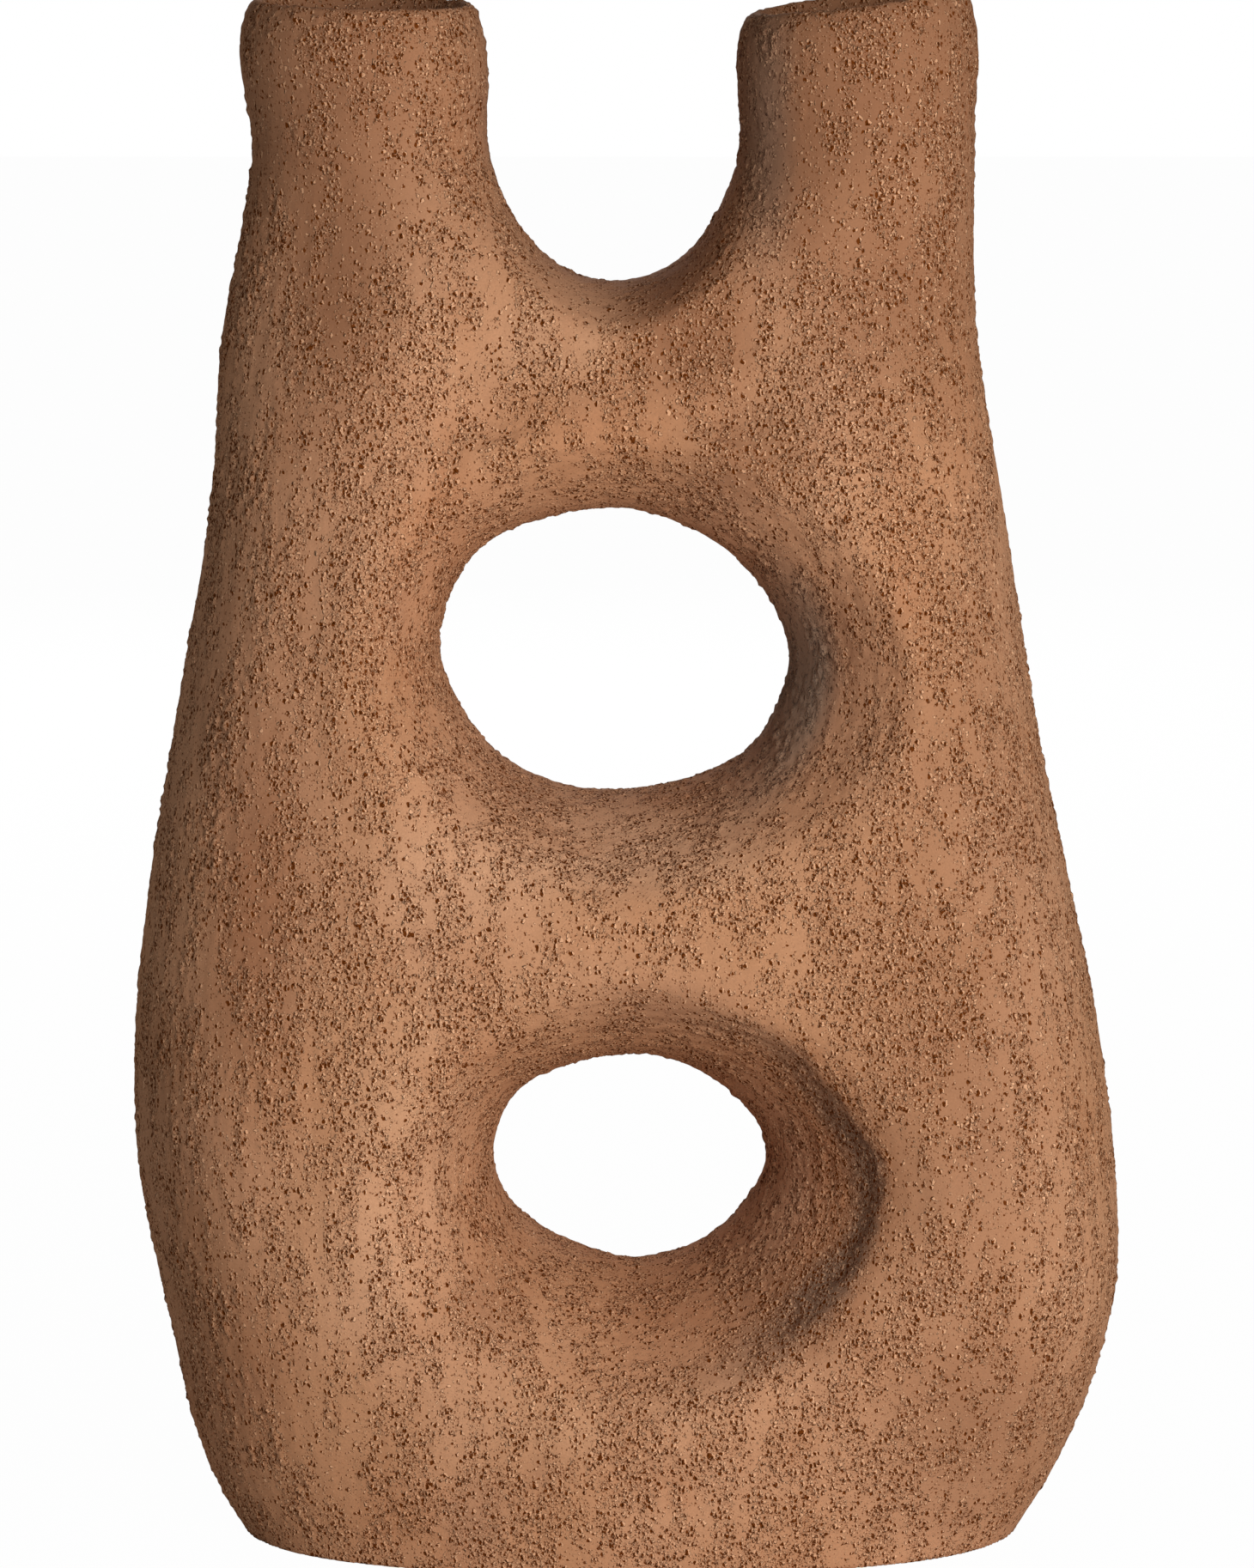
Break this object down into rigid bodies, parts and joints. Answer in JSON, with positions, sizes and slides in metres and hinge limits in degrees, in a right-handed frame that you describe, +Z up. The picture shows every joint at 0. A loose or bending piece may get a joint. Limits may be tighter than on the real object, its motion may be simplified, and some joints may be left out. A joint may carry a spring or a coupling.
{
  "type": "stoneware vase",
  "caption": "Hand-built unglazed stoneware vase: a flattened hollow body with round eyes pierced right through it and open necks either side of a notch, for dry stems.",
  "frame": {"origin": "middle of the vase's width and depth, on the table it stands on", "axes": "+Z up, +X towards the vase's right side seen from the front, -Y out of the front"},
  "size_m": [0.2575, 0.1178, 0.404],
  "materials": {
    "stoneware": "matte unglazed terracotta-brown clay with coarse grog"
  },
  "bodies": {
    "root": {"base_slab": "stoneware", "foot_wall": "stoneware", "lower_cradle": "stoneware", "lower_arch": "stoneware", "upper_cradle": "stoneware", "upper_arch": "stoneware", "saddle": "stoneware", "left_neck": "stoneware", "right_neck": "stoneware", "left_lip": "stoneware", "right_lip": "stoneware"}
  },
  "joints": []
}
